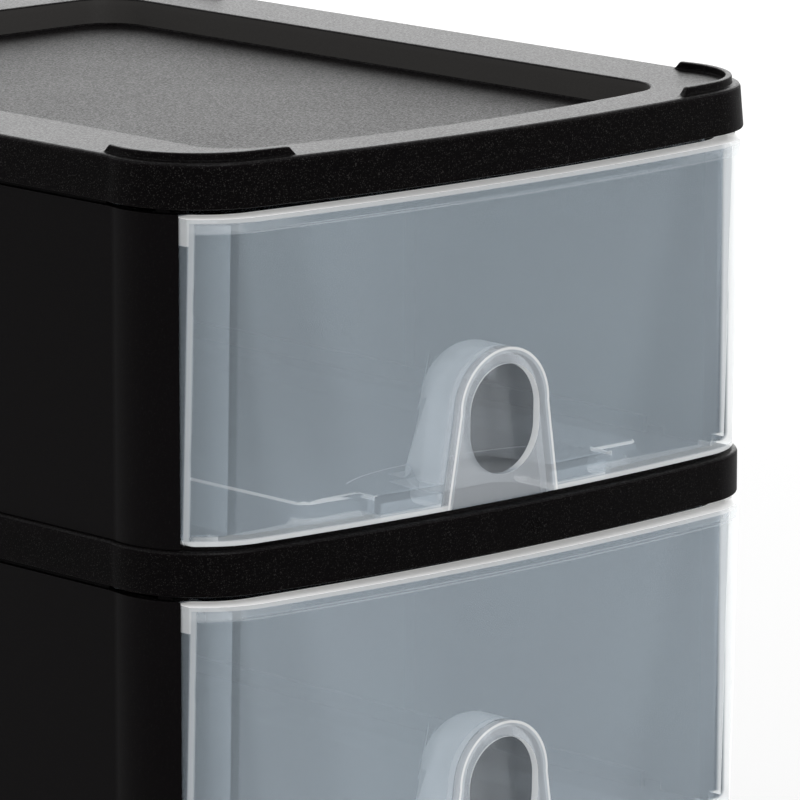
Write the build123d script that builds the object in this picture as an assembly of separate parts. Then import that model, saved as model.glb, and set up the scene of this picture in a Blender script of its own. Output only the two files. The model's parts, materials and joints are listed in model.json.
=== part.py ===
"""Desktop drawer tower: three translucent drawers in a clip-together casing, all sizes in mm.

X runs across, Y runs in depth with the fronts at -Y, and Z is up from the surface it stands on.
"""
import os
from math import acos, asin, cos, degrees, radians, sin, sqrt

from build123d import *

# Casing, seen from above: a bowed front, rounded corners that stand proud of the flat sides.
WIDTH = 190.0
DEPTH = 244.0
FRONT_BOW_R = 524.0
CORNER_R = 24.5
SIDE_STEP = 0.8

# Casing, seen from the side.
TIERS = ("bottom", "middle", "top")
PITCH = 89.5
FOOT_H = 3.0
FOOT_INSET = 4.0
FOOT_T = 5.0
BAND_H = 10.6
BAND_INSET = 0.8
SILL_RISE = 0.8
EDGE_CUT = 0.6
COVER_LEAN = 0.8
PLATE = 2.4
SKIRT_INNER = 2.8
SILL_INSET = 2.6
SILL_HALF = 82.2
SILL_BACK = 112.0
GUIDE_X = 80.0
GUIDE_T = 1.6
GUIDE_H = 5.0
GUIDE_FRONT = -84.0
DECK_RIB_T = 1.6
DECK_RIB_X = (-45, 0, 45)
DECK_RIB_H = 5.0
DECK_RIB_FRONT = -106.0

# Side and back panels.
PANEL_OUTER = 1.8
PANEL_INNER = 4.4
TONGUE_OUTER = 3.0
GROOVE_H = 1.3
CHANNEL_INSET = 4.6
CHANNEL_WALL = 1.5
CHANNEL_Z = 3.0
TONGUE_Y = 84.0
COLUMN_END = 53.0
COLUMN_CLIP = (60.0, 69.0)
LIP_X = 82.6
LIP_Y = -102.0
JAMB_DEPTH = 12.0
WALL = 2.0
PANEL_RIB_Y = (10,)
PANEL_RIB_H = 3.0
BACK_RIB_X = (-30, 30)
BACK_SEAM_X = 64.0
CLEAT_W = 6.0

# Tray and stacking lips on the top cover.
TRAY_HALF = 70.7
TRAY_FRONT = 14.0
TRAY_BACK = 18.5
TRAY_BOW_R = 350.0
TRAY_CORNER_R = 13.0
TRAY_DEPTH = 6.5
TRAY_SLOPE = 2.2
RIB_INSET = 1.7
RIB_T = 1.6
RIB_H = 2.0
RIB_END_X = 62.0
RIB_END_Y = 38.0

# Drawers.
SLIDE_GAP = 0.2
FRONT_H = 75.8
FACE_BOW_R = 680.0
FACE_TOP_INSET = 1.2
FACE_BOTTOM_INSET = 2.8
FACE_T = 2.2
RAIL_DEPTH = 6.5
FACE_END_X = 88.4
FACE_CORNER_R = 2.0
FLANGE_T = 1.9
FLANGE_BACK = -102.5
BODY_HALF = 79.0
BODY_BACK = 112.0
BODY_CORNER_R = 10.8
BODY_T = 1.8
RIM_W = 3.2
RIM_T = 1.6
RIM_DROP = 1.5
PLATEAU_HALF = 55.0
PLATEAU_FRONT = -110.0
PLATEAU_BACK = 98.0
PLATEAU_RISE = 4.0
PLATEAU_TONGUE = 38.0
PLATEAU_CUT = 3.0
LUG_Y = 74.0
LUG_L = 5.0
LUG_W = 1.4
LUG_H = 5.4

# Finger pull: a stadium hole in the front, backed by a hood that is open below.
HOLE_W = 22.0
HOLE_H = 26.3
HOLE_Z = 19.5
HOOD_HALF_FOOT = 17.8
HOOD_R = 14.2
HOOD_H = 36.6
HOOD_DEPTH = 16.0
HOOD_T = 1.4
HOOD_BACK_CUT = 4.5

FRONT_Y = -DEPTH / 2
BACK_Y = DEPTH / 2
LID_Z = FOOT_H + PITCH * len(TIERS)
LID_H = BAND_H
FAR = 400.0
JOIN = 0.5


def bowed(half, front, back, bow, corner, overrun=0.0):
    """Plan face with a bowed front and corner arcs that run past the flat sides by overrun degrees."""
    bow_y = front + bow
    cx = half - corner
    cy = bow_y - sqrt((bow - corner) ** 2 - cx ** 2)
    by = back - corner
    lean = asin(cx / (bow - corner))
    turn = radians(90 + overrun)

    def at_front(side, angle):
        return Vector(side * (cx + corner * sin(angle)), cy - corner * cos(angle))

    def at_back(side, angle):
        return Vector(side * (cx + corner * sin(angle)), by + corner * cos(angle))

    edges = [
        ThreePointArc(at_front(-1, lean), Vector(0, front), at_front(1, lean)),
        Line(at_back(1, 0), at_back(-1, 0)),
    ]
    for side in (1, -1):
        edges += [
            ThreePointArc(at_front(side, lean), at_front(side, (lean + turn) / 2), at_front(side, turn)),
            Line(at_front(side, turn), at_back(side, turn)),
            ThreePointArc(at_back(side, turn), at_back(side, turn / 2), at_back(side, 0)),
        ]
    return Face(Wire(edges))


def casing(inset):
    """Outline of the casing moved in by inset, with its corners proud of its flat sides."""
    return bowed(
        WIDTH / 2 - inset,
        FRONT_Y + inset,
        BACK_Y - inset,
        FRONT_BOW_R - inset,
        CORNER_R - inset,
        degrees(acos((CORNER_R - SIDE_STEP) / CORNER_R)),
    )


def corner_centre():
    """Centre of the front right corner arc, the same for every inset."""
    cx = WIDTH / 2 - CORNER_R
    reach = FRONT_BOW_R - CORNER_R
    return cx, FRONT_Y + FRONT_BOW_R - sqrt(reach ** 2 - cx ** 2)


def prism(face, low, high):
    """Upright solid over a plan face."""
    return extrude(Pos(0, 0, low) * face, amount=high - low, dir=(0, 0, 1))


def tapered(lower, low, upper, high):
    """Solid that runs straight from one plan face to another above it."""
    return loft([Pos(0, 0, low) * lower, Pos(0, 0, high) * upper], ruled=True)


def block(x0, x1, y0, y1, z0, z1):
    """Box between two corners."""
    return Pos((x0 + x1) / 2, (y0 + y1) / 2, (z0 + z1) / 2) * Box(x1 - x0, y1 - y0, z1 - z0)


def both_sides(solid):
    """The solid and its mirror image across the middle."""
    return solid + mirror(solid, about=Plane.YZ)


def skirt_shell(inset, low, height, lean=0.0):
    """Plate with a downturned skirt that leans in towards a bevelled top edge."""
    top = low + height
    shoulder = top - EDGE_CUT
    if lean:
        shell = tapered(casing(inset), low, casing(inset + lean), shoulder)
    else:
        shell = prism(casing(inset), low, shoulder)
    shell += tapered(casing(inset + lean), shoulder, casing(inset + lean + EDGE_CUT), top)
    return shell - prism(casing(SKIRT_INNER), low, top - PLATE)


def tongue_channel(low, ceiling):
    """Ribs along the straight sides and the back that hold the tongues of the panels."""
    bottom = low + CHANNEL_Z
    side_x = WIDTH / 2 - SIDE_STEP - CHANNEL_INSET
    back_y = BACK_Y - CHANNEL_INSET
    side = block(side_x - CHANNEL_WALL, side_x, -TONGUE_Y, TONGUE_Y, bottom, ceiling)
    rear = block(-BACK_SEAM_X, BACK_SEAM_X, back_y - CHANNEL_WALL, back_y, bottom, ceiling)
    return both_sides(side) + rear


def tray_face(inset):
    """Outline of the tray in the top cover, moved in by inset."""
    return bowed(
        TRAY_HALF - inset,
        FRONT_Y + TRAY_FRONT + inset,
        BACK_Y - TRAY_BACK - inset,
        TRAY_BOW_R - inset,
        TRAY_CORNER_R - inset,
    )


def stacking_lips(low):
    """Four raised lips on the cover's corners, their ends cut back at 45 degrees."""
    lips = prism(casing(RIB_INSET), low, low + RIB_H)
    lips -= prism(casing(RIB_INSET + RIB_T), low, low + RIB_H)
    across = Plane.XZ * Polyline((-RIB_END_X, 0), (RIB_END_X, 0), (RIB_END_X + RIB_H, RIB_H),
                                 (-RIB_END_X - RIB_H, RIB_H), (-RIB_END_X, 0))
    lips -= Pos(0, 0, low) * extrude(make_face(across), amount=FAR, both=True)
    end_y = DEPTH / 2 - RIB_END_Y
    along = Plane.YZ * Polyline((-end_y, 0), (end_y, 0), (end_y + RIB_H, RIB_H),
                                (-end_y - RIB_H, RIB_H), (-end_y, 0))
    return lips - Pos(0, 0, low) * extrude(make_face(along), amount=FAR, both=True)


def top_cover():
    """Lid with a sunk tray, corner lips and a channel under its rim for the panels."""
    top = LID_Z + LID_H
    floor = top - TRAY_DEPTH
    cover = skirt_shell(0.0, LID_Z, LID_H, COVER_LEAN)
    cover += prism(tray_face(-PLATE), floor - PLATE, top - PLATE)
    cover -= tapered(tray_face(TRAY_SLOPE), floor, tray_face(0.0), top)
    cover += stacking_lips(top)
    cover += tongue_channel(LID_Z, top - PLATE)
    brace_back = FRONT_Y + TRAY_FRONT - JOIN
    brace = block(-WALL / 2, WALL / 2, FRONT_Y + SKIRT_INNER - JOIN, brace_back, floor, top - PLATE)
    for x in (-TRAY_HALF / 2, 0, TRAY_HALF / 2):
        cover += Pos(x, 0, 0) * brace
    return cover


def decked(low):
    """Skirted plate with a sill under the drawer, drawer guides on top and ribs below."""
    top = low + BAND_H
    ceiling = top - PLATE
    plate = skirt_shell(BAND_INSET, low, BAND_H)
    sill = prism(casing(BAND_INSET + SILL_INSET), top, top + SILL_RISE)
    wide = block(-FACE_END_X, FACE_END_X, -FAR, LIP_Y, top, top + SILL_RISE)
    narrow = block(-SILL_HALF, SILL_HALF, LIP_Y, SILL_BACK, top, top + SILL_RISE)
    plate += sill & (wide + narrow)
    guide = block(GUIDE_X, GUIDE_X + GUIDE_T, GUIDE_FRONT, SILL_BACK, top, top + GUIDE_H)
    plate += both_sides(guide)
    half = DECK_RIB_T / 2
    for x in DECK_RIB_X:
        plate += block(x - half, x + half, DECK_RIB_FRONT, BACK_Y - CHANNEL_INSET, ceiling - DECK_RIB_H, ceiling)
    return plate


def shelf(low):
    """Shelf between two tiers, with a channel below for the tongues of the panels."""
    return decked(low) + tongue_channel(low, low + BAND_H - PLATE)


def base():
    """Lowest shelf, on curved corner feet that nest inside the lips of a tower below."""
    ceiling = FOOT_H + BAND_H - PLATE
    foot = prism(casing(FOOT_INSET), 0, ceiling) - prism(casing(FOOT_INSET + FOOT_T), 0, ceiling)
    foot -= block(-RIB_END_X, RIB_END_X, -FAR, FAR, 0, ceiling)
    end_y = DEPTH / 2 - RIB_END_Y
    foot -= block(-FAR, FAR, -end_y, end_y, 0, ceiling)
    return decked(FOOT_H) + foot


def sector(start, end, low, high):
    """Wedge about the front right corner's centre, between two angles from the front."""
    cx, cy = corner_centre()
    a0, a1 = radians(start), radians(end)
    reach = 2 * CORNER_R
    wedge = make_face(Polyline((cx, cy), (cx + reach * sin(a0), cy - reach * cos(a0)),
                               (cx + reach * sin(a1), cy - reach * cos(a1)), (cx, cy)))
    return prism(wedge, low, high)


def side_panel(low):
    """Right side of one tier: front column, flat side and back corner in one wall."""
    foot = low + BAND_H
    shoulder = low + PITCH - GROOVE_H
    tip = low + PITCH + BAND_H - PLATE
    cx, cy = corner_centre()
    end = radians(COLUMN_END)
    edge_r = CORNER_R - PANEL_OUTER
    edge_x = cx + edge_r * sin(end)
    edge_y = cy - edge_r * cos(end)
    keep = make_face(Polyline(
        (BACK_SEAM_X, cy), (edge_x, cy), (edge_x, -DEPTH), (WIDTH, -DEPTH), (WIDTH, DEPTH),
        (BACK_SEAM_X, DEPTH), (BACK_SEAM_X, cy)))
    wall = prism(casing(PANEL_OUTER), foot, shoulder) - prism(casing(PANEL_INNER), foot, shoulder)
    wall &= prism(keep, foot, shoulder)
    clip = prism(casing(TONGUE_OUTER), shoulder, low + PITCH + CHANNEL_Z)
    clip -= prism(casing(PANEL_INNER), shoulder, low + PITCH + CHANNEL_Z)
    wall += clip & sector(*COLUMN_CLIP, shoulder, low + PITCH + CHANNEL_Z)
    jamb_back = LIP_Y + WALL + JAMB_DEPTH
    column = block(edge_x, edge_x + WALL, edge_y + JOIN, LIP_Y + WALL, foot, shoulder)
    column += block(LIP_X, edge_x + WALL, LIP_Y, LIP_Y + WALL, foot, shoulder)
    column += block(LIP_X, LIP_X + WALL, LIP_Y, jamb_back, foot, shoulder)
    column += block(LIP_X, WIDTH / 2 - PANEL_INNER, jamb_back - WALL, jamb_back, foot, shoulder)
    wall += column & prism(casing(PANEL_OUTER), foot, shoulder)
    inner = WIDTH / 2 - SIDE_STEP - PANEL_INNER
    for y in PANEL_RIB_Y:
        wall += block(inner - PANEL_RIB_H, inner + JOIN, y - DECK_RIB_T / 2, y + DECK_RIB_T / 2, foot, shoulder)
    tongue_x = WIDTH / 2 - SIDE_STEP - TONGUE_OUTER
    return wall + block(inner, tongue_x, -TONGUE_Y, TONGUE_Y, shoulder, tip)


def back_panel(low):
    """Back of one tier, with cleats that lap behind the side panels."""
    foot = low + BAND_H
    shoulder = low + PITCH - GROOVE_H
    tip = low + PITCH + BAND_H - PLATE
    inner = BACK_Y - PANEL_INNER
    panel = block(-BACK_SEAM_X, BACK_SEAM_X, inner, BACK_Y - PANEL_OUTER, foot, shoulder)
    panel += block(-BACK_SEAM_X, BACK_SEAM_X, inner, BACK_Y - TONGUE_OUTER, shoulder, tip)
    cleat = block(BACK_SEAM_X - CLEAT_W, BACK_SEAM_X + CLEAT_W - 2 * JOIN, inner - WALL, inner, foot, shoulder)
    panel += both_sides(cleat)
    for x in BACK_RIB_X:
        panel += block(x - DECK_RIB_T / 2, x + DECK_RIB_T / 2, inner - WALL, inner, foot, shoulder)
    return panel


def face_plan(inset):
    """Outline that the drawer front follows, moved in by inset."""
    return bowed(
        WIDTH / 2 - inset,
        FRONT_Y + inset,
        BACK_Y - inset,
        FACE_BOW_R - inset,
        CORNER_R - inset,
    )


def body_plan(inset, back):
    """Outline of the drawer's box moved in by inset, open-ended at the front."""
    half = BODY_HALF - inset
    face = Pos(0, (back - FAR) / 2) * Rectangle(2 * half, back + FAR)
    return fillet(face.vertices().sort_by(Axis.Y)[-2:], BODY_CORNER_R - inset).face()


def plateau_plan(inset):
    """Raised part of the drawer floor, with a tongue that runs to the front."""
    deep = PLATEAU_BACK - PLATEAU_FRONT
    main = Pos(0, (PLATEAU_BACK + PLATEAU_FRONT) / 2) * Rectangle(
        2 * (PLATEAU_HALF - inset), deep - 2 * inset)
    main = chamfer(main.vertices(), PLATEAU_CUT)
    tongue = Pos(0, FRONT_Y / 2) * Rectangle(2 * (PLATEAU_TONGUE - inset), -FRONT_Y - 2 * inset)
    return (main + tongue).face()


def hood(inset, low, back):
    """Arched hood behind the finger hole, bevelled round its back, that reaches down to low."""
    radius = HOOD_R - inset
    rise = HOOD_H - HOOD_R
    foot = HOOD_HALF_FOOT - inset
    slant = asin((HOOD_HALF_FOOT - HOOD_R) / rise)
    spring = Vector(radius * cos(slant), rise + radius * sin(slant))
    arch = Wire([
        Line((-foot, low), (foot, low)),
        Line((foot, low), spring),
        ThreePointArc(spring, (0, rise + radius), (-spring.X, spring.Y)),
        Line((-spring.X, spring.Y), (-foot, low)),
    ])
    arched = extrude(Plane((0, FRONT_Y, 0), x_dir=(1, 0, 0), z_dir=(0, -1, 0)) * Face(arch),
                     amount=back - inset - FRONT_Y, dir=(0, 1, 0))
    rear = arched.faces().sort_by(Axis.Y)[-1]
    edges = [e for e in rear.edges() if e.center().Z > low + JOIN]
    return chamfer(edges, HOOD_BACK_CUT)


def drawer(low):
    """One-piece drawer: bowed front with a return flange, box, stepped floor and finger pull."""
    top = low + FRONT_H
    outer = tapered(face_plan(FACE_BOTTOM_INSET), low, face_plan(FACE_TOP_INSET), top)
    inner = tapered(face_plan(FACE_BOTTOM_INSET + FACE_T), low, face_plan(FACE_TOP_INSET + FACE_T), top)
    flange = block(-FACE_END_X, FACE_END_X, -FAR, FLANGE_BACK, low, top)
    flange = fillet(flange.edges().filter_by(Axis.Y).group_by(Axis.Z)[0], FACE_CORNER_R)
    ends = flange - block(FLANGE_T - FACE_END_X, FACE_END_X - FLANGE_T, -FAR, FAR, low, top)
    front = (outer - inner) & flange
    deep = prism(face_plan(FACE_TOP_INSET + RAIL_DEPTH), low, top)
    rails = (flange - deep) & (
        block(-FAR, FAR, -FAR, FAR, low, low + FLANGE_T) + block(-FAR, FAR, -FAR, FAR, top - FLANGE_T, top))
    front += (ends + rails) & outer

    body_top = top - RIM_DROP
    box = prism(body_plan(0, BODY_BACK), low, body_top) & outer
    room = prism(body_plan(BODY_T, BODY_BACK - BODY_T), low, body_top) & inner
    rim = prism(body_plan(-RIM_W, BODY_BACK), body_top - RIM_T, body_top) & outer
    rim -= block(-FAR, FAR, -FAR, FLANGE_BACK - 2 * JOIN, low, top)
    plateau = prism(plateau_plan(0), low, low + BODY_T + PLATEAU_RISE)
    under = prism(plateau_plan(BODY_T), low, low + PLATEAU_RISE)
    pull_back = FRONT_Y + FACE_BOTTOM_INSET + FACE_T + HOOD_DEPTH
    shell = Pos(0, 0, low) * hood(0, 0, pull_back)
    pocket = Pos(0, 0, low) * hood(HOOD_T, -JOIN, pull_back)
    room -= block(-FAR, FAR, -FAR, FAR, low, low + BODY_T) + plateau + shell
    solid = front + box + rim - room - (under & inner)
    solid += shell & outer
    solid -= pocket & inner
    hole = Plane.XZ * SlotOverall(HOLE_H, HOLE_W, rotation=90)
    solid -= Pos(0, FRONT_Y, low + HOLE_Z) * extrude(hole, amount=12, both=True)
    lug = block(BODY_HALF - BODY_T, BODY_HALF + LUG_W, LUG_Y, LUG_Y + LUG_L, body_top - RIM_T, body_top + LUG_H)
    return solid + both_sides(lug)


def write(name, solid):
    """Write one sub-part to its own STEP file."""
    export_step(solid, f"parts/{name}.step")
    print(name, round(solid.volume), len(solid.solids()))


def main():
    """Build every sub-part and write it out."""
    os.makedirs("parts", exist_ok=True)
    write("top_cover", top_cover())
    write("base", base())
    for name, index in (("shelf_lower", 1), ("shelf_upper", 2)):
        write(name, shelf(FOOT_H + PITCH * index))
    right = side_panel(0)
    left = mirror(right, about=Plane.YZ)
    rear = back_panel(0)
    pull_out = drawer(0)
    for index, tier in enumerate(TIERS):
        low = FOOT_H + PITCH * index
        write(f"side_panel_right_{tier}", Pos(0, 0, low) * right)
        write(f"side_panel_left_{tier}", Pos(0, 0, low) * left)
        write(f"back_panel_{tier}", Pos(0, 0, low) * rear)
        write(f"drawer_{tier}", Pos(0, 0, low + BAND_H + SILL_RISE + SLIDE_GAP) * pull_out)


main()
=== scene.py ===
"""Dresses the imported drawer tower: rounded edges, grained black plastic and milky drawers."""
import json
import math

import bpy
from mathutils import Matrix, Vector

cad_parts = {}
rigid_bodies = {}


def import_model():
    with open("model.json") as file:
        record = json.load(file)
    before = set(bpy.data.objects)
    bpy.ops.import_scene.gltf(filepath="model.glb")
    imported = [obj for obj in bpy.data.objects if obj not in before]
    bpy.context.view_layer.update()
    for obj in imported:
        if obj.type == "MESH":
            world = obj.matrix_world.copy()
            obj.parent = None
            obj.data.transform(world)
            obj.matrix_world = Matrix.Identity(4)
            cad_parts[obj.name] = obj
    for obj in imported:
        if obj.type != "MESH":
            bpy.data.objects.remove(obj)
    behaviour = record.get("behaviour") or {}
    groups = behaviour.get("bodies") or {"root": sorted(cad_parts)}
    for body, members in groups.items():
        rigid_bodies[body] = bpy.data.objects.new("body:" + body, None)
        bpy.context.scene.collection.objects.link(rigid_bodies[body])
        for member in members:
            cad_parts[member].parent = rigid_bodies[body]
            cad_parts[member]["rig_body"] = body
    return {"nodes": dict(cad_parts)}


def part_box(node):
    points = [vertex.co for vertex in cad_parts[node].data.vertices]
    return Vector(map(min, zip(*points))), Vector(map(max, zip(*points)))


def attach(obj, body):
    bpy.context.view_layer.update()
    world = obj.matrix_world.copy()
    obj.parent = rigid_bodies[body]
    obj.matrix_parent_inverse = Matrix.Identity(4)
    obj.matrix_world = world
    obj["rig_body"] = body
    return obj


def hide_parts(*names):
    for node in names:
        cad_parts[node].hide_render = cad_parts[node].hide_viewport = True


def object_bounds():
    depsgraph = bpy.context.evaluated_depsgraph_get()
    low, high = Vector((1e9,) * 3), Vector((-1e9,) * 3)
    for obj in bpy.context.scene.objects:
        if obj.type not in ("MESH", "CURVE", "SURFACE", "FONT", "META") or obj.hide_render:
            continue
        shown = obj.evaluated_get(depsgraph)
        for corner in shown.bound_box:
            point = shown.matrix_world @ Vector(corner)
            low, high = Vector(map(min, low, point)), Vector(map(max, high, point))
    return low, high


bl_info = {
    "name": "Drawer Tower",
    "version": (1, 0, 0),
    "blender": (4, 5, 0),
    "location": "View3D > Sidebar > Tower",
    "description": "Finishes a desktop drawer tower piece by piece around its packed frame",
    "category": "Object",
}

MM = 0.001
WELD = 1e-6                 # corners closer than this, in metres, are one corner
FLAT = math.radians(0.2)    # triangles this flat to each other pair into quads
SHARP = math.radians(30)    # edges that turn by more are rounded
SMOOTH = math.radians(38)   # edges that turn by less are shaded smooth
TIERS = ("bottom", "middle", "top")
SIDES = ("left", "right")

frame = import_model()
CAD_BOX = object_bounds()
DRAWER_LOW = [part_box(f"drawer_{tier}")[0][2] for tier in TIERS]
PITCH = DRAWER_LOW[1] - DRAWER_LOW[0]

# Top cover: corner lips stand on its rim, round a tray.
LIP_H = 2.0 * MM
LIP_INSET = (0.9905, 0.992, 1.0)   # scale that leaves a ledge of about 0.9 mm outside the lips
RIM_TOP = CAD_BOX[1][2] - LIP_H
RIM_POLISH_H = 1.6                 # millimetres of the rim that are polished
TRAY_X, TRAY_Y = 74.0, 110.0       # half sizes of the sunk part in millimetres

# Drawer, in millimetres: heights are from its underside, and its front faces -Y.
FRONT_H = 75.8
FRONT_BACK = -104.0                # front with its rail and flange lies before this
PLATE_BACK = -115.0                # bowed plate of the front lies before this
BODY_FRONT = -115.8                # box, floor and hood lie behind this
RAIL_H = 3.4                       # rail along the front's top
ARCH_SPRING, ARCH_RADIUS, ARCH_FOOT = 22.4, 14.2, 17.8
HOLE_MIDDLE, HOLE_H, HOLE_RADIUS = 19.5, 26.3, 11.0
FLOOR_TOP, FLOOR_FRONT = 5.5, -109.6
TOP_DRAWER_LOW = 186.0             # height in the tower that parts the top drawer from the others


class TowerSizes(bpy.types.PropertyGroup):
    """Sizes of the roundings and of the grain"""
    cover_round: bpy.props.FloatProperty(
        name="Cover rounding", description="Width of the rounding on the cover's edges",
        default=0.45 * MM, min=0.0, subtype="DISTANCE", unit="LENGTH")
    shelf_round: bpy.props.FloatProperty(
        name="Shelf rounding", description="Width of the rounding on the shelves' edges",
        default=0.4 * MM, min=0.0, subtype="DISTANCE", unit="LENGTH")
    panel_round: bpy.props.FloatProperty(
        name="Panel rounding", description="Width of the rounding on the side and back panels",
        default=0.3 * MM, min=0.0, subtype="DISTANCE", unit="LENGTH")
    drawer_round: bpy.props.FloatProperty(
        name="Drawer rounding", description="Width of the rounding on the drawers' edges",
        default=0.25 * MM, min=0.0, subtype="DISTANCE", unit="LENGTH")
    hood_round: bpy.props.FloatProperty(
        name="Hood rounding", description="Width of the roll at the back of a finger pull's hood",
        default=2.2 * MM, min=0.0, subtype="DISTANCE", unit="LENGTH")
    grain: bpy.props.FloatProperty(
        name="Grain", description="Size of the moulded grain on the black plastic",
        default=0.42 * MM, min=0.05 * MM, subtype="DISTANCE", unit="LENGTH")


class TowerColours(bpy.types.PropertyGroup):
    """Colours of the casing and the drawers, and how much the drawers hide"""
    black: bpy.props.FloatVectorProperty(
        name="Black", description="Colour of the casing",
        default=(0.0016, 0.0012, 0.0014), min=0.0, max=1.0, size=3, subtype="COLOR")
    # The fleck colour also paints a sheen on the tray's sloped faces.
    fleck_and_sheen: bpy.props.FloatVectorProperty(
        name="Fleck", description="Colour of the bright specks in the grain",
        default=(0.05, 0.048, 0.046), min=0.0, max=1.0, size=3, subtype="COLOR")
    milk: bpy.props.FloatVectorProperty(
        name="Milk", description="Colour of the drawers' walls",
        default=(0.64, 0.76, 0.85), min=0.0, max=1.0, size=3, subtype="COLOR")
    milk_shade: bpy.props.FloatVectorProperty(
        name="Milk shade", description="Colour of the drawers' walls in their cloudier parts",
        default=(0.60, 0.69, 0.78), min=0.0, max=1.0, size=3, subtype="COLOR")
    hood: bpy.props.FloatVectorProperty(
        name="Hood", description="Colour of the finger pull's hood",
        default=(0.70, 0.75, 0.80), min=0.0, max=1.0, size=3, subtype="COLOR")
    edge: bpy.props.FloatVectorProperty(
        name="Edge", description="Colour of the drawers where light gathers in an edge",
        default=(0.745, 0.75, 0.75), min=0.0, max=1.0, size=3, subtype="COLOR")
    # Painted glow: this colour is emitted at the drawers' rims, which no lamp lights.
    glow: bpy.props.FloatVectorProperty(
        name="Glow", description="Light that the drawers' walls carry out to their rims",
        default=(0.42, 0.42, 0.415), min=0.0, max=1.0, size=3, subtype="COLOR")
    wall_alpha: bpy.props.FloatProperty(
        name="Wall cover", description="How much one face of a drawer's wall hides",
        default=0.185, min=0.0, max=1.0, subtype="FACTOR")
    # Used only on the hood's left side and top, as a painted highlight.
    pull_alpha: bpy.props.FloatProperty(
        name="Pull cover", description="How much more the hood of a finger pull hides",
        default=0.3, min=0.0, max=1.0, subtype="FACTOR")
    edge_alpha: bpy.props.FloatProperty(
        name="Edge cover", description="How much an edge of a drawer hides",
        default=0.6, min=0.0, max=1.0, subtype="FACTOR")


class TowerStage(bpy.types.PropertyGroup):
    """Camera, light tent and floor"""
    camera_place: bpy.props.FloatVectorProperty(
        name="Camera", description="Where the camera stands",
        default=(-1.1685, -1.3547, 0.5589), size=3, subtype="TRANSLATION", unit="LENGTH")
    camera_back: bpy.props.FloatVectorProperty(
        name="Camera back", description="Direction from the view back to the camera",
        default=(-0.66343, -0.72188, 0.19682), size=3, subtype="DIRECTION")
    lens: bpy.props.FloatProperty(
        name="Lens", description="Focal length of the camera in millimetres",
        default=334.7, min=1.0, subtype="NONE")
    sky: bpy.props.FloatProperty(
        name="Sky", description="Brightness of the light tent round the tower",
        default=0.8, min=0.0)
    floor: bpy.props.FloatVectorProperty(
        name="Floor", description="Colour of the pale floor",
        default=(0.88, 0.88, 0.88), min=0.0, max=1.0, size=3, subtype="COLOR")


class Value:
    """A number that varies over a surface, with arithmetic that adds Math nodes."""

    def __init__(self, graph, socket):
        self.graph = graph
        self.socket = socket

    def __add__(self, other):
        return self.graph.math("ADD", self, other)

    def __radd__(self, other):
        return self.graph.math("ADD", other, self)

    def __sub__(self, other):
        return self.graph.math("SUBTRACT", self, other)

    def __rsub__(self, other):
        return self.graph.math("SUBTRACT", other, self)

    def __mul__(self, other):
        return self.graph.math("MULTIPLY", self, other)

    def __rmul__(self, other):
        return self.graph.math("MULTIPLY", other, self)

    def __mod__(self, other):
        return self.graph.math("FLOORED_MODULO", self, other)

    def __abs__(self):
        return self.graph.math("ABSOLUTE", self)

    def root(self):
        return self.graph.math("SQRT", self)

    def high(self, *others):
        """Largest of this and some other values at each point."""
        highest = self
        for other in others:
            highest = self.graph.math("MAXIMUM", highest, other)
        return highest

    def above(self, edge, soft):
        """0 below edge and 1 above it, with a soft step between."""
        return self.graph.ramp(self, edge - soft, edge + soft)

    def below(self, edge, soft):
        """1 below edge and 0 above it, with a soft step between."""
        return 1 - self.above(edge, soft)

    def near(self, centre, half, soft):
        """1 within half of centre, falling off softly on both sides."""
        return abs(self - centre).below(half, soft)


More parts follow.
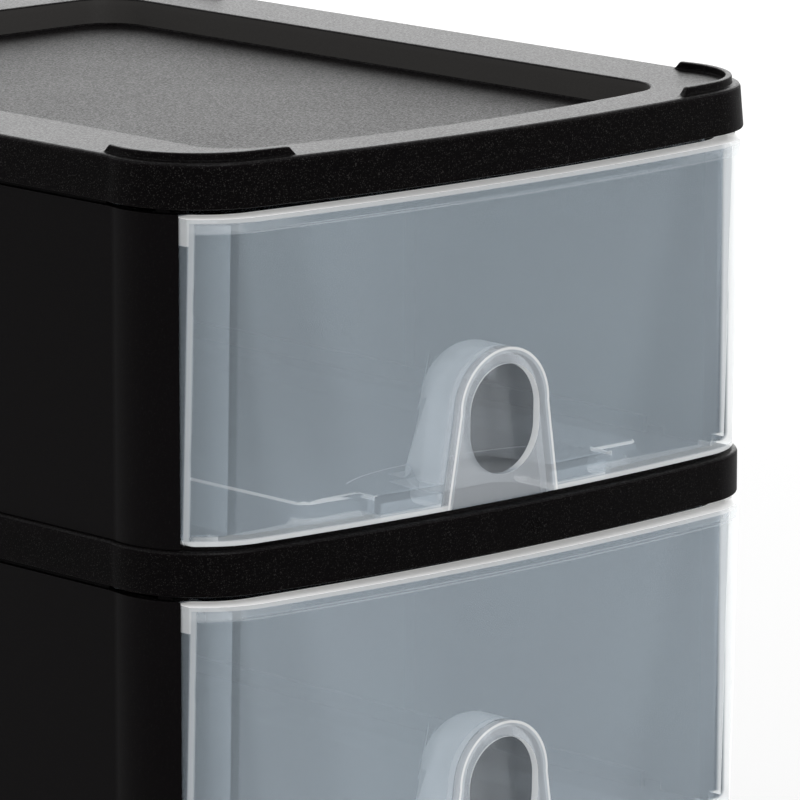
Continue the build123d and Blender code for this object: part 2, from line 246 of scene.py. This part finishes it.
class Graph:
    """Node tree of one material."""

    def __init__(self, name):
        self.material = bpy.data.materials.new(name)
        self.material.use_nodes = True
        self.tree = self.material.node_tree
        self.shader = self.tree.nodes["Principled BSDF"]

    def node(self, kind, settings=None, sockets=None):
        """Adds any node, sets it up and fills its sockets with values or links."""
        added = self.tree.nodes.new(kind)
        for key, value in (settings or {}).items():
            setattr(added, key, value)
        for key, value in (sockets or {}).items():
            self.fill(added.inputs[key], value)
        return added

    def fill(self, socket, value):
        """Links a value into a socket, or sets it there."""
        if isinstance(value, Value):
            value = value.socket
        if isinstance(value, bpy.types.NodeSocket):
            self.tree.links.new(value, socket)
        else:
            socket.default_value = value

    def math(self, operation, *values):
        added = self.node("ShaderNodeMath", {"operation": operation}, dict(enumerate(values)))
        return Value(self, added.outputs[0])

    def ramp(self, value, low, high):
        """0 at low and 1 at high, smooth between."""
        added = self.node("ShaderNodeMapRange", {"interpolation_type": "SMOOTHSTEP"},
                          {"Value": value, "From Min": low, "From Max": high})
        return Value(self, added.outputs["Result"])

    def blend(self, mask, first, second):
        """Colour that goes from first to second as mask goes from 0 to 1."""
        factor, colour_a, colour_b, result = 0, 6, 7, 2
        added = self.node("ShaderNodeMix", {"data_type": "RGBA"},
                          {factor: mask, colour_a: first, colour_b: second})
        return added.outputs[result]

    def place(self):
        """Position on the piece in millimetres, whole and as x, y and z."""
        where = self.node("ShaderNodeTexCoord").outputs["Object"]
        scaled = self.node("ShaderNodeVectorMath", {"operation": "SCALE"},
                           {0: where, "Scale": 1 / MM}).outputs[0]
        return scaled, self.parts(scaled)

    def facing(self):
        """Direction that the bare surface faces, as x, y and z."""
        return self.parts(self.node("ShaderNodeNewGeometry").outputs["True Normal"])

    def parts(self, vector):
        split = self.node("ShaderNodeSeparateXYZ", None, {0: vector})
        return [Value(self, output) for output in split.outputs]

    def noise(self, where, size, detail=2.0, roughness=0.5):
        """Noise from 0 to 1 whose lumps are size millimetres across."""
        added = self.node("ShaderNodeTexNoise", None, {
            "Vector": where, "Scale": 1 / size, "Detail": detail, "Roughness": roughness})
        return Value(self, added.outputs["Fac"])

    def bump(self, height, strength, depth):
        """Normal bent by a height from 0 to 1 that stands for depth metres."""
        added = self.node("ShaderNodeBump", None, {
            "Strength": strength, "Distance": depth, "Height": height})
        return added.outputs["Normal"]

    def finish(self, **sockets):
        """Fills sockets of the shader, with _ for the spaces in their names."""
        for key, value in sockets.items():
            self.fill(self.shader.inputs[key.replace("_", " ")], value)
        return self.material


def rgba(colour, factor=1.0):
    return (*(part * factor for part in colour), 1.0)


def black_plastic(name, grain_depth, flecks, ior, polish=0.24, polish_from=0.0):
    """Injection-moulded black with an eroded grain, a few bright specks, polished edges and a
    painted sheen on the tray's sloped faces.

    The polish lies on what faces up, from a height of polish_from millimetres.
    """
    colours = bpy.context.scene.tower_colours
    grain = bpy.context.scene.tower_sizes.grain / MM
    graph = Graph(name)
    where, (x, y, z) = graph.place()
    _, _, facing_z = graph.facing()
    lumps = graph.noise(where, grain, detail=3.0, roughness=0.6)
    fine = graph.noise(where, grain * 0.45, detail=1.0)
    pits = graph.noise(where, grain * 1.4, detail=1.0).above(0.52, soft=0.14)
    sparks = graph.noise(where, grain * 0.6, detail=0.0).above(0.72, soft=0.06) * flecks
    flow = graph.noise(where, size=38.0)
    in_tray = abs(x).below(TRAY_X, soft=1.0) * abs(y).below(TRAY_Y, soft=1.0)
    # Painted sheen: the tray's sloped faces take the lighter fleck colour.
    tray_slope_sheen = facing_z.near(0.3, half=0.12, soft=0.05) * in_tray * 0.7
    polished = z.above(polish_from, soft=0.3) * polish * (0.6 + 0.7 * pits)
    shade = graph.blend(flow, rgba(colours.black), rgba(colours.black, 1.35))
    return graph.finish(
        Base_Color=graph.blend(sparks.high(tray_slope_sheen), shade, rgba(colours.fleck_and_sheen)),
        Roughness=0.36 + 0.08 * lumps + 0.06 * flow,
        IOR=ior,
        Coat_Weight=facing_z.above(0.45, soft=0.3) * polished.high(0.18 * pits),
        Coat_Roughness=0.35,
        Normal=graph.bump(0.7 * lumps + 0.3 * fine, strength=0.5, depth=grain_depth),
    )


class DrawerSpot:
    """Where a point lies on its own drawer in millimetres, and which way it faces."""

    def __init__(self, graph):
        self.where, (self.x, self.y, self.height) = graph.place()
        _, self.facing_y, self.facing_z = graph.facing()
        self.z = (self.height - DRAWER_LOW[0] / MM) % (PITCH / MM)
        self.across = abs(self.x)
        self.right_half = self.x.above(4.0, soft=3.0)
        self.on_front = self.y.below(FRONT_BACK, soft=1.0)
        self.on_plate = self.y.below(PLATE_BACK, soft=1.0)
        self.forward = self.facing_y.below(-0.7, soft=0.1)
        self.on_face = self.on_plate * self.forward
        self.inside = self.y.above(BODY_FRONT, soft=0.5)


# The masks below give 0 to 1 at each point, and a factor after one says how strongly it shows.
# Names that end in _x, _y or _z are places on a drawer, and those in _h are heights of a part.

def front_rims(at):
    """Painted highlights on the front's edges: its rims, the top of its rail, and its lit right
    end.
    """
    foot_h, top_h, roll_h, rail_end_h = 1.3, 1.1, 0.6, 6.3
    pull_x, lit_x, wing_x, rail_end_x = 16.5, 83.8, 87.7, 88.0
    foot = at.z.below(foot_h, soft=0.3) * at.across.above(pull_x, soft=0.3) * 0.8
    top = at.z.above(FRONT_H - top_h, soft=0.2) * 0.8
    rail_foot = at.z.near(FRONT_H - RAIL_H, half=0.2, soft=0.15) * 0.3
    wing = at.across.near(wing_x, half=0.5, soft=0.2) * 0.6
    rail_end = at.across.above(rail_end_x, soft=0.1) * at.z.above(FRONT_H - rail_end_h, soft=0.2)
    rims = foot.high(top, rail_foot, wing, rail_end * 0.8) * at.on_front
    rail_top = at.facing_z.above(0.7, soft=0.1) * at.z.above(FRONT_H - roll_h, soft=0.2)
    lit_end = at.x.above(lit_x, soft=0.3)
    return rims, rail_top * at.on_front, lit_end * at.on_front


def arch_distance(x, z):
    """Millimetres from the pull's arch as seen from the front, less than 0 inside it."""
    lean = math.asin((ARCH_FOOT - ARCH_RADIUS) / ARCH_SPRING)
    rise = z - ARCH_SPRING
    circle = (x * x + rise * rise).root() - ARCH_RADIUS
    leg = abs(x) * math.cos(lean) + z * math.sin(lean) - ARCH_FOOT * math.cos(lean)
    upper = z.above(ARCH_SPRING, soft=0.01)
    return circle * upper + leg * (1 - upper)


def pull_arch(at):
    """Arch of the pull seen through the front: its line, the face in it and its two walls."""
    shift_x, shift_z = 2.0, -0.6
    arch = arch_distance(at.x, at.z)
    core = arch.near(-0.35, half=0.35, soft=0.15)
    halo = arch.near(-0.75, half=0.65, soft=0.2) * 0.4
    face = arch.below(-1.3, soft=0.2)
    inner = arch.near(-1.9, half=1.8, soft=0.3) * at.right_half
    moved_arch = arch_distance(at.x + shift_x, at.z + shift_z)
    outer = arch.above(0.0, soft=0.15) * moved_arch.below(-0.1, soft=0.2)
    return [mask * at.on_face for mask in (core.high(halo), face, inner, outer)]


def hole_wall(at):
    """Painted highlight on the wall of the stadium hole through the front plate, brightest at its
    lip and over its right half.
    """
    lip_y = -119.2
    beyond = (abs(at.z - HOLE_MIDDLE) - (HOLE_H / 2 - HOLE_RADIUS)).high(0.0)
    hole = (at.x * at.x + beyond * beyond).root() - HOLE_RADIUS
    lip = at.y.below(lip_y, soft=0.2).high(at.right_half * 0.9)
    sideways = abs(at.facing_y).below(0.6, soft=0.25)
    return hole.below(0.4, soft=0.2) * sideways * at.on_plate * lip


def floor_edge_highlights(at):
    """Painted highlight lines on the edges of the raised floor, its tongues beside the pull and
    the fold behind the pull.
    """
    side_x, side_y, front_x = 54.5, -108.0, 45.3
    corner_x, corner_sum, tongue_x = 53.5, 161.5, 37.6
    fold_x, fold_y, fold_sweep = 33.0, -94.0, 5.0 / 30.0 ** 3
    step_y, foot_side_x, foot_side_y = -117.0, 55.4, -110.5
    foot_front_x, foot_front_y, foot_z = 47.0, -110.4, 1.9

    side = at.x.near(-side_x, half=0.8, soft=0.2) * at.y.above(side_y, soft=0.3)
    at_front = at.y.near(FLOOR_FRONT, half=0.8, soft=0.2)
    front = at_front * at.across.near(front_x, half=7.4, soft=0.2)
    cut_off = (at.across - at.y).near(corner_sum, half=0.9, soft=0.3)
    corner = cut_off * at.across.near(corner_x, half=1.8, soft=0.2)
    tongue = at.across.near(tongue_x, half=0.6, soft=0.2) * at.y.below(FLOOR_FRONT, soft=0.2) * 0.8
    swept_y = at.y + at.across * at.across * at.across * fold_sweep
    fold = swept_y.near(fold_y, half=0.35, soft=0.25) * at.across.below(fold_x, soft=1.0) * 0.7
    on_step = at.z.near(FLOOR_TOP, half=0.6, soft=0.1) * at.y.above(step_y, soft=0.5)
    step = side.high(front, corner, tongue, fold) * on_step

    beside = at.across.near(foot_side_x, half=0.5, soft=0.2) * at.y.above(foot_side_y, soft=0.2)
    before = at.across.near(foot_front_x, half=8.6, soft=0.2)
    before = before * at.y.near(foot_front_y, half=0.5, soft=0.2)
    foot = beside.high(before) * at.z.near(foot_z, half=0.3, soft=0.15) * 0.35
    return step.high(foot)


def pull_hood(at):
    """Hood behind the finger hole: all of it, and the left side and top that catch the light."""
    half_x, back_y, top_z = 18.6, -99.0, 38.0
    lit_x, lit_z = -4.0, 33.0
    hood = at.inside * at.y.below(back_y, soft=1.0)
    hood = hood * at.across.below(half_x, soft=0.4) * at.z.below(top_z, soft=0.4)
    return hood, hood * at.x.below(lit_x, soft=3.0).high(at.z.above(lit_z, soft=1.0))


def drawer_plastic():
    """Milky polypropylene that brightens where light gathers: rims, rolled edges and the pull."""
    colours = bpy.context.scene.tower_colours
    graph = Graph("milky_polypropylene")
    at = DrawerSpot(graph)
    rims, rail_top, lit_end = front_rims(at)
    arch_line, arch_face, arch_inner, arch_outer = pull_arch(at)
    hood, lit_hood = pull_hood(at)
    pull_wall = hole_wall(at)
    floor_highlight_lines = floor_edge_highlights(at)
    tongue_x, tongue_shift, tongue_z = 28.0, 2.0, 3.85
    tongue_end = at.on_face * abs(at.x + tongue_shift).near(tongue_x, half=10.2, soft=0.3)
    tongue_end = tongue_end * at.z.near(tongue_z, half=2.5, soft=0.2)
    body_rim = at.z.above(FRONT_H - RAIL_H, soft=0.2) * at.inside * 0.35
    # The edge colour and edge cover paint highlights on all these rims, lines and walls.
    edges = rims.high(rail_top, lit_end, arch_line, pull_wall, body_rim, floor_highlight_lines)

    # The front's own face makes up for what its joints with the hood and the floor hide.
    lit_left_x, lit_face_y = -30.0, -111.0
    hides = colours.wall_alpha * (1 - 0.3 * at.inside)
    # Painted highlight: pull_alpha makes only the hood's left side and top cover more, so they
    # show lighter.
    hides = hides + colours.pull_alpha * lit_hood + 0.06 * hood
    hides = hides + 0.03 * arch_face + 0.11 * arch_outer + 0.1 * arch_inner + 0.1 * tongue_end
    # Painted light: the front face covers a little more, and so shows lighter, towards the left
    # and on the two lower drawers.
    painted_front_light = 0.02 * at.x.below(lit_left_x, soft=20.0) + 0.03 * at.height.below(TOP_DRAWER_LOW, soft=4.0)
    hides = hides + painted_front_light * at.forward * at.y.below(lit_face_y, soft=1.0)
    hides = hides * (1 - edges) + colours.edge_alpha * edges

    cloud = graph.noise(at.where, size=46.0)
    milk = graph.blend(cloud, rgba(colours.milk), rgba(colours.milk_shade))
    milk = graph.blend(hood.high(arch_face, arch_outer), milk, rgba(colours.hood))
    # Painted glow: emission lights the rail's top, the lit end, the rims, the hole's wall, the
    # floor lines and the arch line, and the Alpha below makes the rail's top and lit end nearly
    # solid.
    glow = (rail_top * 0.8).high(
        lit_end, 0.3 * rims, 0.6 * pull_wall, 0.5 * floor_highlight_lines, 0.5 * arch_line)
    return graph.finish(
        Base_Color=graph.blend(edges, milk, rgba(colours.edge)),
        Alpha=hides.high(0.95 * rail_top, 0.98 * lit_end),
        Emission_Color=graph.blend(glow, (0.0, 0.0, 0.0, 1.0), rgba(colours.glow)),
        Emission_Strength=1.0,
        Roughness=0.3 + 0.1 * cloud,
        IOR=1.45,
    )


def pick(obj):
    """Deselects everything and makes one object active."""
    bpy.ops.object.select_all(action="DESELECT")
    obj.select_set(True)
    bpy.context.view_layer.objects.active = obj


def apply_modifier(obj, kind, **settings):
    """Adds one modifier to an object and applies it."""
    modifier = obj.modifiers.new(kind.title(), kind)
    for key, value in settings.items():
        setattr(modifier, key, value)
    pick(obj)
    bpy.ops.object.modifier_apply(modifier=modifier.name)


def merged_copy(node, name):
    """Own copy of a node with its loose triangles merged and paired into quads."""
    copy = bpy.data.objects.new(name, frame["nodes"][node].data.copy())
    bpy.context.scene.collection.objects.link(copy)
    copy.data.materials.clear()
    pick(copy)
    bpy.ops.mesh.customdata_custom_splitnormals_clear()
    bpy.ops.object.mode_set(mode="EDIT")
    bpy.ops.mesh.select_all(action="SELECT")
    bpy.ops.mesh.remove_doubles(threshold=WELD)
    bpy.ops.mesh.tris_convert_to_quads(face_threshold=FLAT, shape_threshold=math.pi)
    bpy.ops.object.mode_set(mode="OBJECT")
    return copy


def soften(obj, width):
    """Rounds the sharp edges of a piece and shades its curves smooth."""
    apply_modifier(obj, "BEVEL", width=width, segments=2, limit_method="ANGLE",
                   angle_limit=SHARP, use_clamp_overlap=False, miter_outer="MITER_ARC")
    pick(obj)
    bpy.ops.object.shade_smooth_by_angle(angle=SMOOTH)
    apply_modifier(obj, "WEIGHTED_NORMAL", keep_sharp=True)


def dress(obj, node, material):
    """Puts a finished piece in the place of its node."""
    body = frame["nodes"][node]["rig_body"]
    obj.data.materials.append(material)
    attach(obj, body)
    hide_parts(node)


def round_hood(drawer, width):
    """Rolls the bevelled back of the finger pull's hood into a round, inside and out."""
    half_x, back_y, heights = 17.6 * MM, (-109.0 * MM, -99.0 * MM), (2.2 * MM, 37.0 * MM)
    mesh = drawer.data
    pick(drawer)
    bpy.ops.object.mode_set(mode="EDIT")
    bpy.ops.mesh.select_mode(type="EDGE")
    bpy.ops.mesh.select_all(action="DESELECT")
    bpy.ops.mesh.edges_select_sharp(sharpness=SHARP)
    bpy.ops.object.mode_set(mode="OBJECT")
    for edge in mesh.edges:
        if edge.select:
            ends = [mesh.vertices[i].co for i in edge.vertices]
            edge.select = all(
                abs(end.x) < half_x and back_y[0] < end.y < back_y[1]
                and heights[0] < end.z - DRAWER_LOW[0] < heights[1] for end in ends)
    bpy.ops.object.mode_set(mode="EDIT")
    bpy.ops.mesh.bevel(offset=width, offset_type="OFFSET", segments=4, profile=0.5,
                       clamp_overlap=False)
    bpy.ops.object.mode_set(mode="OBJECT")


def draw_in_lips(cover):
    """Moves the stacking lips in a little, so a narrow ledge is left outside them."""
    mesh = cover.data
    tops = {v.index for v in mesh.vertices if v.co.z > RIM_TOP + LIP_H / 4}
    feet = {index for edge in mesh.edges if tops & set(edge.vertices) for index in edge.vertices}
    pick(cover)
    bpy.ops.object.mode_set(mode="EDIT")
    bpy.ops.mesh.select_mode(type="VERT")
    bpy.ops.mesh.select_all(action="DESELECT")
    bpy.ops.object.mode_set(mode="OBJECT")
    for index in tops | feet:
        mesh.vertices[index].select = True
    bpy.ops.object.mode_set(mode="EDIT")
    bpy.ops.transform.resize(value=LIP_INSET, center_override=(0, 0, 0))
    bpy.ops.object.mode_set(mode="OBJECT")


class TOWER_OT_top_cover(bpy.types.Operator):
    """Finish the top cover: tray, stacking lips and rounded rim"""
    bl_idname = "tower.top_cover"
    bl_label = "Top Cover"

    def execute(self, context):
        black = black_plastic("cover_black", grain_depth=0.00012, flecks=0.6, ior=1.08,
                              polish_from=RIM_TOP / MM - RIM_POLISH_H)
        cover = merged_copy("top_cover", "cover_dressed")
        draw_in_lips(cover)
        soften(cover, context.scene.tower_sizes.cover_round)
        dress(cover, "top_cover", black)
        return {"FINISHED"}


class TOWER_OT_shelves(bpy.types.Operator):
    """Finish the two shelves and the base"""
    bl_idname = "tower.shelves"
    bl_label = "Shelves and Base"

    def execute(self, context):
        black = black_plastic("shelf_black", grain_depth=0.00008, flecks=0.4, ior=1.08)
        for node in ("shelf_upper", "shelf_lower", "base"):
            shelf = merged_copy(node, f"{node}_dressed")
            soften(shelf, context.scene.tower_sizes.shelf_round)
            dress(shelf, node, black)
        return {"FINISHED"}


class TOWER_OT_panels(bpy.types.Operator):
    """Finish the side and back panels of every tier"""
    bl_idname = "tower.panels"
    bl_label = "Side and Back Panels"

    def execute(self, context):
        black = black_plastic("panel_black", grain_depth=0.00003, flecks=0.1, ior=1.11, polish=0.0)
        names = [f"back_panel_{tier}" for tier in TIERS]
        names += [f"side_panel_{side}_{tier}" for side in SIDES for tier in TIERS]
        for node in names:
            panel = merged_copy(node, f"{node}_dressed")
            soften(panel, context.scene.tower_sizes.panel_round)
            dress(panel, node, black)
        return {"FINISHED"}


class TOWER_OT_drawers(bpy.types.Operator):
    """Finish one drawer and copy it to the other tiers"""
    bl_idname = "tower.drawers"
    bl_label = "Drawers"

    def execute(self, context):
        sizes = context.scene.tower_sizes
        milky = drawer_plastic()
        first = merged_copy("drawer_bottom", "drawer_bottom_dressed")
        round_hood(first, sizes.hood_round)
        soften(first, sizes.drawer_round)
        for tier, low in zip(TIERS, DRAWER_LOW):
            drawer = first
            if low > DRAWER_LOW[0]:
                drawer = bpy.data.objects.new(f"drawer_{tier}_dressed", first.data.copy())
                context.scene.collection.objects.link(drawer)
                drawer.data.materials.clear()
                drawer.data.transform(Matrix.Translation((0, 0, low - DRAWER_LOW[0])))
            dress(drawer, f"drawer_{tier}", milky)
        return {"FINISHED"}


def softbox(name, place, aim, size, power):
    """Square area light that points at a spot."""
    light = bpy.data.lights.new(name, "AREA")
    light.shape, light.size, light.energy = "SQUARE", size, power
    lamp = bpy.data.objects.new(name, light)
    bpy.context.scene.collection.objects.link(lamp)
    lamp.location = place
    lamp.visible_camera = False
    lamp.rotation_euler = (Vector(aim) - Vector(place)).to_track_quat("-Z", "Y").to_euler()


class TOWER_OT_stage(bpy.types.Operator):
    """Set out the pale floor, the soft lights and the camera"""
    bl_idname = "tower.stage"
    bl_label = "Stage"

    def execute(self, context):
        scene, stage = context.scene, context.scene.tower_stage
        bpy.ops.object.select_all(action="DESELECT")
        bpy.ops.mesh.primitive_circle_add(vertices=96, radius=9.0, fill_type="NGON")
        floor = context.object
        floor.name = "studio_floor"
        graph = Graph("floor_paper")
        where, _ = graph.place()
        tone = graph.noise(where, size=300.0)
        floor.data.materials.append(graph.finish(
            Base_Color=graph.blend(tone, rgba(stage.floor), rgba(stage.floor, 0.99)),
            Roughness=0.9, Specular_IOR_Level=0.1))

        world = bpy.data.worlds.new("light_tent")
        world.use_nodes = True
        background = world.node_tree.nodes["Background"]
        background.inputs["Color"].default_value = (1.0, 1.0, 1.0, 1.0)
        background.inputs["Strength"].default_value = stage.sky
        scene.world = world
        softbox("key_light", place=(-0.6, -2.2, 2.2), aim=(0, 0, 0.15), size=1.8, power=30.0)
        softbox("back_light", place=(2.4, 2.6, 1.1), aim=(0, 0, 0.25), size=2.6, power=60.0)

        camera = bpy.data.objects.new("camera", bpy.data.cameras.new("camera"))
        scene.collection.objects.link(camera)
        back = Vector(stage.camera_back).normalized()
        right = Vector((0, 0, 1)).cross(back).normalized()
        turn = Matrix((right, back.cross(right), back)).transposed().to_4x4()
        camera.matrix_world = Matrix.Translation(stage.camera_place) @ turn
        camera.data.lens = stage.lens
        camera.data.sensor_width = 36.0
        camera.data.clip_end = 50.0
        scene.camera = camera
        scene.view_settings.view_transform = "Standard"
        scene.cycles.transparent_max_bounces = 32
        return {"FINISHED"}


STEPS = (TOWER_OT_top_cover, TOWER_OT_shelves, TOWER_OT_panels, TOWER_OT_drawers, TOWER_OT_stage)
GROUPS = (
    ("tower_sizes", TowerSizes), ("tower_colours", TowerColours), ("tower_stage", TowerStage))


class TOWER_PT_panel(bpy.types.Panel):
    """Lists the sizes, the colours and the steps that finish the tower"""
    bl_idname = "TOWER_PT_panel"
    bl_label = "Drawer Tower"
    bl_space_type = "VIEW_3D"
    bl_region_type = "UI"
    bl_category = "Tower"

    def draw(self, context):
        for key, _ in GROUPS:
            settings = getattr(context.scene, key)
            box = self.layout.box()
            for name in settings.__annotations__:
                box.prop(settings, name)
        for step in STEPS:
            self.layout.operator(step.bl_idname)


def register():
    for key, group in GROUPS:
        bpy.utils.register_class(group)
        setattr(bpy.types.Scene, key, bpy.props.PointerProperty(type=group))
    for each in (*STEPS, TOWER_PT_panel):
        bpy.utils.register_class(each)


def unregister():
    for each in (TOWER_PT_panel, *reversed(STEPS)):
        bpy.utils.unregister_class(each)
    for key, group in reversed(GROUPS):
        delattr(bpy.types.Scene, key)
        bpy.utils.unregister_class(group)


def main():
    register()
    bpy.ops.tower.top_cover()
    bpy.ops.tower.shelves()
    bpy.ops.tower.panels()
    bpy.ops.tower.drawers()
    bpy.ops.tower.stage()


if __name__ == "__main__":
    main()
